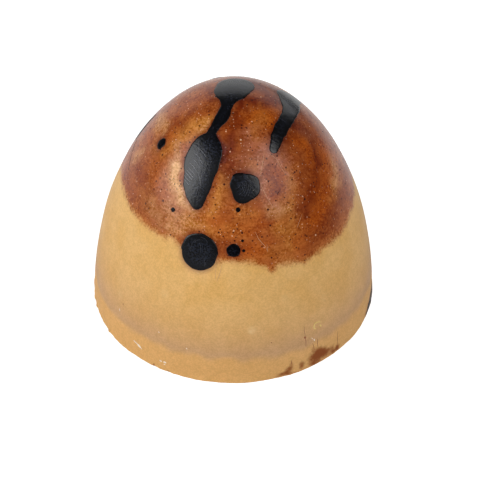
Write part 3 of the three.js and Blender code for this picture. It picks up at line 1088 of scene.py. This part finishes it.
# %% The black material
BLACK = shown_colour(1, 1, 4)
GRAINED_BLACK = shown_colour(29, 33, 45)
BRUSHED_GREY = shown_colour(66, 70, 88)
LINE_TILT = math.radians(-50)    # the fine lines run down to the right
LINE_STRETCH = (0.9, 4.6, 4.6)
BLACK_BUMP = 0.018               # mm
BLACK_IOR = 1.42
BLACK_DUST = shown_colour(150, 140, 132)


def black_material(name, shine):
    """Set black cocoa butter; the shine is 0.5 where it was thick, and less where it is thin."""
    material, tree, shader = new_material(name)
    tilted = {"Vector": place_in_mm(tree), "Angle": LINE_TILT}
    tilted = add_node(tree, "VectorRotate", tilted, rotation_type="Y_AXIS").outputs[0]
    stretched = add_node(tree, "VectorMath", {0: tilted, 1: LINE_STRETCH}, operation="MULTIPLY")
    lines = grain(tree, stretched.outputs[0], 1.0, 2.0, 0.7)
    patches = grain(tree, place_in_mm(tree), 0.5, 2.0)
    grains = ease(tree, grain(tree, place_in_mm(tree), 7.0, 1.0), 0.42, 0.62)
    in_the_middle = ease(tree, stored(tree, "inward"), 0.1, 1.0)
    colour = blend_colours(tree, times(tree, grains, in_the_middle), BLACK, GRAINED_BLACK)
    marked = times(tree, ease(tree, lines, 0.53, 0.68), ease(tree, patches, 0.4, 0.62))
    colour = blend_colours(tree, times(tree, marked, 0.3), colour, BRUSHED_GREY)
    dust = specks(tree, place_in_mm(tree), 1.6, 0.06, 0.2)
    colour = blend_colours(tree, times(tree, dust, 0.6), colour, BLACK_DUST)
    join(tree, shader.inputs["Base Color"], colour)
    roughness = calculate(tree, "MULTIPLY_ADD", lines, 0.12, 0.16)
    join(tree, shader.inputs["Roughness"], roughness)
    bump = add_node(tree, "Bump", {"Height": lines, "Strength": 1.0, "Distance": BLACK_BUMP * MM})
    join(tree, shader.inputs["Normal"], bump.outputs[0])
    shader.inputs["IOR"].default_value = BLACK_IOR
    shader.inputs["Specular IOR Level"].default_value = shine
    return material


black = black_material("black_cocoa_butter", 0.5)
dull_black = black_material("dull_black", 0.15)
half_dull_black = black_material("half_dull_black", 0.38)
OTHER_BLACKS = {
    "small_round_drop": dull_black, "oval_drop": dull_black, "left_streak": dull_black,
    "back_small_drop": dull_black, "back_oval_drop": dull_black, "five_sided_drop": half_dull_black,
}

# %% Lay the drops on the shell
for name, discs in DROPS.items():
    points, faces, depths = film_mesh(discs)
    film = make_object(name, points, faces, OTHER_BLACKS.get(name, black))
    keep_values(film, {"inward": np.concatenate([depths, np.zeros(len(points) - len(depths))])})
    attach(film, "root")

# %% [markdown]
# ## Splashes of fine black mist, and pale flecks
#
# Where the black was flicked in, tiny splashes fell round the drops. The larger ones are placed
# where they show, and the finest are drawn at random from a seed, more of them on the right, as the
# flick went that way. The brown coat also has pale flecks where a little cocoa butter has whitened.
# Noise in the material can't place either, so each is a lens of a few faces, and all dots of one
# kind are one mesh. The smallest black dots are so thin that brown shows through them, so they
# are a second mesh in a brown-black.

# %% Dots as lenses
DOT_SIDES = 10
DOT_ROWS = ((0.6, 0.014), (1.0, -0.004))  # share of the radius, and lift off the wall
DOT_TOP = 0.018
DOT_ROOT = 0.03


def dot_rows(bearing, fall, radius):
    """One lens: a low crown, a ring at the shell and a point under it."""
    turn = np.linspace(0, 2 * math.pi, DOT_SIDES, endpoint=False)
    around = max(radius_at(fall), 0.5)
    rows = []
    for share, lift in DOT_ROWS:
        ring_bearing = bearing + share * radius * np.cos(turn) / around
        ring_fall = fall + share * radius * np.sin(turn)
        rows.append(on_shell(ring_bearing, ring_fall, lift))
    centre = np.array([bearing]), np.array([fall])
    return np.concatenate([on_shell(*centre, DOT_TOP), *rows, on_shell(*centre, -DOT_ROOT)])


def lay_dots(name, bearings, falls, radii, material, slot):
    """All dots of one kind as one piece."""
    points, faces = [], []
    for dot in zip(bearings, falls, radii):
        base = len(points) * (2 * DOT_SIDES + 2)
        crown, rim, root = base + 1, base + 1 + DOT_SIDES, base + 1 + 2 * DOT_SIDES
        points.append(dot_rows(*dot))
        faces += ring_faces(crown, rim, DOT_SIDES)
        for i in range(DOT_SIDES):
            after = (i + 1) % DOT_SIDES
            faces.append((base, crown + after, crown + i))
            faces.append((rim + i, rim + after, root))
    made = make_object(name, np.concatenate(points), faces, material)
    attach(made, "root")
    return made


# %% Fine black dots: (bearing in degrees, height, radius) in mm
CLEAR_DOTS = [
    (2.0, 18.25, 0.27), (4.1, 15.6, 0.16), (4.6, 14.7, 0.18), (-36.3, 17.15, 0.26),
    (19.5, 16.6, 0.11), (43.9, 17.58, 0.12), (-4.0, 22.6, 0.09), (9.2, 23.7, 0.08),
    (16.0, 23.7, 0.07), (18.0, 13.7, 0.1), (38.4, 14.5, 0.1), (34.4, 12.4, 0.08),
    (74.3, 18.2, 0.08), (82.5, 16.9, 0.08), (73.0, 17.1, 0.07), (72.7, 20.6, 0.07),
    (68.0, 15.6, 0.07), (1.6, 17.1, 0.06), (-10.7, 17.0, 0.05), (-10.5, 18.2, 0.05),
    (19.6, 17.96, 0.12), (39.9, 20.55, 0.1), (37.2, 21.55, 0.1), (30.4, 21.16, 0.07),
    (32.3, 20.98, 0.06), (40.5, 19.53, 0.09), (46.8, 19.95, 0.07), (32.7, 18.83, 0.06),
    (31.6, 20.24, 0.055), (32.7, 19.39, 0.055), (27.2, 19.85, 0.05), (29.9, 19.19, 0.055),
    (36.7, 19.62, 0.05), (31.1, 20.57, 0.05), (23.1, 18.96, 0.05), (36.5, 18.87, 0.055),
    (35.5, 20.47, 0.05), (25.8, 20.44, 0.045),
]
SMALLEST_BLACK = 0.13            # mm: smaller dots are thin, and the brown shows through
MIST_COUNT = 280


def mist_places():
    """Bearings, falls and radii of the finest dots."""
    draw = np.random.default_rng(8)
    side = draw.uniform(0, 1, MIST_COUNT) < 0.55
    degrees = np.where(side, draw.normal(40, 30, MIST_COUNT), draw.uniform(-180, 180, MIST_COUNT))
    fall = 17.0 * draw.uniform(0.03, 1.0, MIST_COUNT) ** 0.6
    radius = 0.034 + 0.056 * draw.uniform(0, 1, MIST_COUNT) ** 1.8
    return np.radians(degrees), fall, radius


def mottled_material(name, first, second, per_mm, detail, roughness):
    """One colour clouded with another, with so many clouds per mm."""
    material, tree, shader = new_material(name)
    mottle = grain(tree, place_in_mm(tree), per_mm, detail)
    join(tree, shader.inputs["Base Color"], blend_colours(tree, mottle, first, second))
    shader.inputs["Roughness"].default_value = roughness
    return material


mist_material = mottled_material(
    "brown_black_mist", shown_colour(30, 5, 4), shown_colour(72, 18, 8), 3.0, 2.0, 0.5,
)
mist_shader = mist_material.node_tree.nodes["Principled BSDF"]
mist_shader.inputs["Specular IOR Level"].default_value = 0.08

clear = np.array(CLEAR_DOTS)
clear_places = np.stack([np.radians(clear[:, 0]), fall_at(clear[:, 1]), clear[:, 2]])
large = clear[:, 2] >= SMALLEST_BLACK
lay_dots("black_dots", *clear_places[:, large], dull_black, "black_cocoa_butter")
mist = np.concatenate([clear_places[:, ~large], mist_places()], axis=1)
lay_dots("black_mist", *mist, mist_material, "black_cocoa_butter")

# %% Pale flecks in the coat: (east, south, radius) on the map
CLEAR_FLECKS = [
    (-0.1, 13.7, 0.09), (-0.9, 4.2, 0.08), (-0.5, 6.2, 0.08), (-6.3, 3.5, 0.08), (-0.3, 14.2, 0.07),
    (0.6, 5.4, 0.065), (0.8, 13.7, 0.07), (1.4, 6.0, 0.065), (-4.7, 0.4, 0.06), (1.2, 4.2, 0.06),
    (-6.2, 8.7, 0.06), (1.6, 3.1, 0.055), (-10.7, 2.7, 0.07), (-6.7, 3.5, 0.06), (-3.8, 2.2, 0.05),
    (2.5, -0.2, 0.06), (-2.3, 11.8, 0.06), (-5.1, 11.1, 0.06), (-12.2, 6.7, 0.06),
    (-3.6, 1.6, 0.06), (4.0, 15.1, 0.06), (-1.8, 14.0, 0.05), (-7.4, 14.4, 0.06), (6.3, 4.2, 0.05),
    (-3.4, 1.9, 0.06),
]
FLECK_COUNT = 260

fleck_material = mottled_material("pale_fleck", PALE_SPECK, FLECK_SHADE, 5.0, 2.0, 0.3)
fleck_draw = np.random.default_rng(15)
fleck_bearing = np.where(
    fleck_draw.uniform(0, 1, FLECK_COUNT) < 0.35,
    fleck_draw.normal(0.0, 0.45, FLECK_COUNT),
    fleck_draw.uniform(-math.pi, math.pi, FLECK_COUNT),
)
fleck_fall = 15.5 * fleck_draw.uniform(0.03, 1.0, FLECK_COUNT) ** 0.6
fleck_radius = 0.024 + 0.024 * fleck_draw.uniform(0, 1, FLECK_COUNT) ** 2
clear = np.array(CLEAR_FLECKS)
clear_bearing, clear_fall = from_map(clear[:, 0], clear[:, 1])
lay_dots(
    "pale_flecks",
    np.concatenate([clear_bearing, fleck_bearing]),
    np.concatenate([clear_fall, fleck_fall]),
    np.concatenate([clear[:, 2], fleck_radius]),
    fleck_material, "caramel_chocolate",
)

# %% [markdown]
# ## Scratches, nicks and thin brown runs
#
# A few marks are finer than the shell's mesh: hair-thin scratches where the caramel shows through
# the brown, nicks in the foot where the scraper caught it, drawn white as a painted glint, and thin
# brown runs low on the wall. The coat's left edge also has thin dark lines, and the black drops
# have brush marks and rubbed arcs. Each is a thread that lies half in the surface and tapers at
# both ends, so its edges stay crisp.

# %% The threads: radius in mm and route
SCRATCHES = [                    # as (east, south) on the map
    (0.022, [(2.7, 13.7), (3.1, 14.3), (3.7, 14.7), (4.2, 15.0), (4.5, 15.4)]),
    (0.018, [(4.3, 14.7), (4.5, 15.1), (4.55, 15.5)]),
    (0.02, [(8.6, 10.6), (8.4, 11.4), (8.2, 12.2)]),
    (0.03, [(-1.7, 17.0), (-2.1, 18.0), (-2.6, 18.8)]),
    (0.02, [(-2.5, 16.9), (-2.7, 17.8), (-2.75, 18.6)]),
    (0.018, [(3.05, 5.9), (2.95, 7.2), (2.75, 8.3)]),
    (0.015, [(2.75, 8.8), (3.3, 9.6), (3.9, 10.3), (4.7, 11.1)]),
    (0.013, [(3.6, 5.9), (4.5, 6.3), (5.1, 6.95), (5.8, 7.5)]),
]
# the white of these nicks is a painted glint
NICKS = [                        # as (bearing in degrees, height)
    (0.075, [(-44.6, 1.88), (-43.4, 1.74), (-42.3, 1.62), (-41.0, 1.5), (-39.9, 1.4)]),
    (0.16, [(-42.6, 1.66), (-41.6, 1.56), (-40.6, 1.47)]),
    (0.085, [(-31.2, 1.12), (-30.6, 1.04), (-30.1, 1.0)]),
    (0.11, [(-29.4, 1.02), (-28.6, 1.14), (-28.0, 1.08)]), (0.06, [(-29.2, 0.85), (-28.4, 0.83)]),
    (0.05, [(-54.6, 4.3), (-54.1, 4.0)]), (0.05, [(-32.3, 4.6), (-31.8, 4.5)]),
    (0.05, [(-19.5, 3.8), (-19.0, 3.65)]), (0.06, [(34.5, 3.45), (34.9, 3.15)]),
    (0.04, [(33.6, 3.7), (33.8, 3.5)]), (0.07, [(133.0, 1.5), (134.6, 1.3), (136.0, 1.25)]),
    (0.06, [(-116.0, 1.3), (-114.6, 1.1)]),
]
GOLDEN_NICKS = [
    (0.08, [(38.6, 5.0), (37.2, 5.22), (35.6, 5.25), (34.8, 5.0), (34.9, 4.7), (35.9, 4.5)]),
    (0.11, [(35.3, 5.15), (34.8, 4.95), (34.9, 4.65)]),
    (0.09, [(37.7, 4.75), (38.3, 4.65), (38.4, 4.5)]),
]
BROWN_RUNS = [
    (0.12, [(30.0, 4.25), (30.3, 4.1), (30.6, 3.95)]),
    (0.025, [(30.2, 5.5), (30.1, 5.0), (30.4, 4.3)]),
    (0.035, [(30.3, 4.1), (30.7, 3.6), (30.6, 2.9)]),
    (0.035, [(36.4, 3.2), (36.2, 2.7), (36.3, 2.2)]),
    (0.03, [(33.8, 3.0), (34.2, 2.6), (34.4, 2.1)]),
    (0.035, [(47.4, 2.6), (47.2, 1.7), (47.3, 0.7)]), (0.06, [(15.3, 4.75), (15.6, 4.65)]),
    (0.05, [(-52.6, 5.3), (-52.3, 5.1)]), (0.04, [(24.0, 1.9), (23.8, 1.3)]),
    (0.035, [(160.0, 3.0), (160.6, 2.2), (160.2, 1.4)]), (0.08, [(159.4, 3.2), (159.8, 3.0)]),
]
DARK_LINES = [                   # as (east, south)
    (0.055, [(-12.6, -3.2), (-12.45, -2.4), (-12.79, -1.99), (-13.0, -1.39), (-13.21, -0.93)]),
    (0.045, [(-13.21, -0.93), (-13.38, -0.39), (-13.6, 0.41), (-13.86, 1.05), (-14.1, 1.82)]),
]
BRUSH_MARKS = [                  # on the long drop, as (east, south)
    (0.022, [(-5.72, 7.55), (-5.4, 8.0), (-5.05, 8.45)]),
    (0.026, [(-5.55, 7.25), (-5.2, 7.75), (-4.82, 8.3)]),
    (0.024, [(-5.35, 7.1), (-5.0, 7.6), (-4.65, 8.1)]),
    (0.02, [(-5.8, 7.9), (-5.5, 8.3), (-5.25, 8.7)]),
    (0.018, [(-5.1, 6.95), (-4.8, 7.4), (-4.45, 7.85)]),
    (0.014, [(-4.95, 6.5), (-4.5, 7.05), (-4.2, 7.6)]),
    (0.014, [(-4.6, 6.2), (-4.1, 6.75), (-3.8, 7.4)]),
    (0.012, [(-4.3, 5.7), (-3.8, 6.3), (-3.5, 7.0)]),
    (0.012, [(-4.1, 7.6), (-3.9, 8.3), (-3.9, 9.0)]),
    (0.012, [(-3.9, 5.3), (-3.4, 5.8), (-3.0, 6.5)]),
]
# rubbed arcs on the wide drops: centre (east, south), radius, first and last angle in degrees from
# south
ARCS = [
    (-4.75, 15.35, 1.15, 150, 215), (-4.75, 15.35, 1.3, 190, 260), (-4.75, 15.35, 1.42, 120, 170),
    (-4.75, 15.35, 0.8, 60, 110), (-5.4, 15.0, 0.9, 60, 120), (-4.9, 16.6, 0.8, 60, 130),
    (0.2, 9.4, 0.7, 30, 120), (0.2, 9.4, 0.9, 15, 110), (0.2, 9.4, 1.1, 30, 125),
    (0.2, 9.4, 1.35, 40, 100), (0.2, 9.4, 1.6, 50, 115), (0.1, 9.2, 0.5, 10, 100),
]
ARC_RADIUS = 0.01
THREAD_SIDES = 6
THREAD_STEPS = 16


def thread_mesh(radius, bearing, fall, lift):
    """A tapered thread along a route, half sunk in the surface at this lift over the shell."""
    share = np.linspace(0, len(bearing) - 1, THREAD_STEPS)
    bearing = np.interp(share, range(len(bearing)), bearing)
    fall = np.interp(share, range(len(fall)), fall)
    line = on_shell(bearing, fall, lift)
    up = on_shell(bearing, fall, lift + 1.0) - line
    side = np.cross(np.gradient(line, axis=0), up)
    side /= np.linalg.norm(side, axis=1)[:, None]
    taper = radius * np.sin(np.pi * np.linspace(0.06, 0.94, THREAD_STEPS)) ** 0.6
    rows = []
    for k in range(THREAD_SIDES):
        turn = 2 * math.pi * k / THREAD_SIDES
        rows.append(line + taper[:, None] * (math.cos(turn) * side + 0.4 * math.sin(turn) * up))
    points = np.stack(rows, axis=1).reshape(-1, 3)
    last = (THREAD_STEPS - 1) * THREAD_SIDES
    faces = [tuple(range(THREAD_SIDES)), tuple(range(last, last + THREAD_SIDES))]
    for step in range(THREAD_STEPS - 1):
        faces += ring_faces(step * THREAD_SIDES, (step + 1) * THREAD_SIDES, THREAD_SIDES)
    return points, faces


def arc_route(east, south, radius, first, last):
    """Five places along an arc on the map."""
    turns = np.radians(np.linspace(first, last, 5))
    places = np.stack([east + radius * np.sin(turns), south + radius * np.cos(turns)], axis=1)
    return places.tolist()


def thread_material(name, first, second, roughness):
    first, second = shown_colour(*first), shown_colour(*second)
    return mottled_material(name, first, second, 6.0, 3.0, roughness)


def lay_threads(name, threads, on_map, material, lift=0.0):
    """All threads of one kind as one piece."""
    all_points, all_faces = [], []
    for radius, route in threads:
        first, second = np.array(route, float).T
        bearing, fall = from_map(first, second) if on_map else (np.radians(first), fall_at(second))
        points, faces = thread_mesh(radius, bearing, fall, lift)
        start = len(all_points) * len(points)
        all_points.append(points)
        all_faces += [[start + k for k in face] for face in faces]
    made = make_object(name, np.concatenate(all_points), all_faces, material)
    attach(made, "root")
    return made


# %% Lay the threads
bare = thread_material("bare_scratch", (226, 178, 132), (196, 138, 92), 0.5)
# painted glint: the nicks are drawn near-white in place of the light they catch
white = thread_material("nick_painted_glint", (255, 248, 236), (250, 232, 206), 0.3)
pale_gold = thread_material("golden_nick", (250, 220, 138), (240, 204, 120), 0.4)
thin_brown = thread_material("thin_brown", (150, 88, 48), (172, 108, 62), 0.5)
lay_threads("pale_scratches", SCRATCHES, True, bare)
lay_threads("nicks_painted_glint", NICKS, False, white)
lay_threads("golden_nicks", GOLDEN_NICKS, False, pale_gold)
lay_threads("brown_runs", BROWN_RUNS, False, thin_brown)
dark_brown = thread_material("dark_brown", (62, 40, 34), (84, 56, 46), 0.4)
lay_threads("dark_lines", DARK_LINES, True, dark_brown)
rubbed = thread_material("rubbed_black", (158, 158, 164), (110, 112, 120), 0.4)
arcs = [(ARC_RADIUS, arc_route(*arc)) for arc in ARCS]
lay_threads("brush_marks", BRUSH_MARKS, True, rubbed, FILM_TOP)
dim = thread_material("dim_rub", (84, 86, 94), (56, 58, 66), 0.4)
lay_threads("rubbed_arcs", arcs, True, dim, FILM_TOP)

# %% [markdown]
# ## Floor and light
#
# The bonbon stands on a plain white table that fades into the white of the picture. Two softboxes
# light it from the left and the right, and a white card stands behind it: the tip reflects the
# card, the shoulder reflects the softboxes, and the dark room above shows as the deep black of the
# drips between them. So the lights are placed by where their reflections lie on the dome.

# %% The floor and the unseen table
FLOOR_HALF = 3.0
TABLE_EDGE = 0.07                # the unseen table ends this far to the right
BEHIND_LEVEL = 0.28              # the table is lighter behind the bonbon, under the card


def white_surface(name, radiance, albedo):
    """A plain white material that glows a little, to fade into the white of the picture."""
    material, tree, shader = new_material(name)
    shader.inputs["Base Color"].default_value = (albedo, albedo, albedo, 1)
    shader.inputs["Roughness"].default_value = 0.9
    shader.inputs["Specular IOR Level"].default_value = 0.0
    shader.inputs["Emission Color"].default_value = (1, 1, 1, 1)
    shader.inputs["Emission Strength"].default_value = radiance
    return material


def plane(name, height, material, right_edge=FLOOR_HALF):
    place = (right_edge - FLOOR_HALF, 0, height * MM)
    bpy.ops.mesh.primitive_plane_add(size=2 * FLOOR_HALF, location=place)
    made = bpy.context.object
    made.name = name
    made.data.materials.append(material)
    made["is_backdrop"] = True
    return made


def seen_by_camera_alone(made):
    for ray in ("diffuse", "glossy", "transmission", "volume_scatter", "shadow"):
        setattr(made, "visible_" + ray, False)


floor = plane("floor", 0.0, white_surface("white_floor", 0.9, 0.5))
seen_by_camera_alone(floor)
table_material = white_surface("grey_table", 0.0, 0.7)
table = plane("table", -0.5, table_material, right_edge=TABLE_EDGE)
table.visible_camera = False
tree = table_material.node_tree
table_place = add_node(tree, "TexCoord").outputs["Object"]
along = add_node(tree, "SeparateXYZ", {0: table_place}).outputs["Y"]
lit_behind = times(tree, ease(tree, along, -0.004, 0.03), BEHIND_LEVEL)
join(tree, tree.nodes["Principled BSDF"].inputs["Emission Strength"], lit_behind)


# %% The lights
def softbox(name, azimuth, elevation, wide, high, radiance, distance=1.1):
    """A soft light seen at an azimuth in degrees, 0 in front and to the right, and elevation."""
    turn, rise = math.radians(azimuth), math.radians(elevation)
    aside, ahead = math.sin(turn) * math.cos(rise), -math.cos(turn) * math.cos(rise)
    towards = Vector((aside, ahead, math.sin(rise)))
    data = bpy.data.lights.new(name, "AREA")
    data.shape = "RECTANGLE"
    data.size = 2 * distance * math.tan(math.radians(wide / 2))
    data.size_y = 2 * distance * math.tan(math.radians(high / 2))
    data.energy = radiance * math.pi * data.size * data.size_y
    light = bpy.data.objects.new(name, data)
    light.location = towards * distance
    light.rotation_mode = "QUATERNION"
    light.rotation_quaternion = (-towards).to_track_quat("-Z", "Y")
    light.visible_camera = False
    bpy.context.collection.objects.link(light)
    print(name, "power", round(data.energy, 1), "W")
    return light


softbox("left_softbox", azimuth=-72, elevation=25, wide=42, high=38, radiance=4.02)
softbox("right_softbox", azimuth=51, elevation=36, wide=38, high=34, radiance=3.35)
softbox("back_card", azimuth=180, elevation=20, wide=86, high=38, radiance=1.0, distance=1.3)

# %% The room and the white backdrop
ROOM_LEVEL = 0.09
FRONT_LEVEL = 0.3


def room_light():
    """A dim room that is lighter low down in front."""
    world = bpy.data.worlds.new("dim_room")
    bpy.context.scene.world = world
    world.use_nodes = True
    tree = world.node_tree
    direction = add_node(tree, "SeparateXYZ", {0: add_node(tree, "TexCoord").outputs["Generated"]})
    front = ease(tree, times(tree, direction.outputs["Y"], -1.0), -0.1, 0.9)
    above_table = ease(tree, direction.outputs["Z"], 0.0, 0.4)
    below_ceiling = ease(tree, times(tree, direction.outputs["Z"], -1.0), -0.98, -0.6)
    low = times(tree, above_table, below_ceiling)
    level = calculate(tree, "MULTIPLY_ADD", times(tree, front, low), FRONT_LEVEL, ROOM_LEVEL)
    join(tree, tree.nodes["Background"].inputs["Strength"], level)
    tree.nodes["Background"].inputs["Color"].default_value = (1, 1, 1, 1)


room_light()
bpy.ops.mesh.primitive_uv_sphere_add(radius=FLOOR_HALF * 0.95, segments=48, ring_count=24)
backdrop = bpy.context.object
backdrop.name = "backdrop"
backdrop.data.materials.append(white_surface("white_backdrop", 1.1, 0.0))
backdrop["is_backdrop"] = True
seen_by_camera_alone(backdrop)
bpy.context.scene.view_settings.view_transform = "Standard"

# %% Print the size beside the solid's, and finish
dressed_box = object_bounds()
for label, (low, high) in (("solid", solid_box), ("dressed", dressed_box)):
    print(label, [round(v / MM, 3) for v in low], [round(v / MM, 3) for v in high])
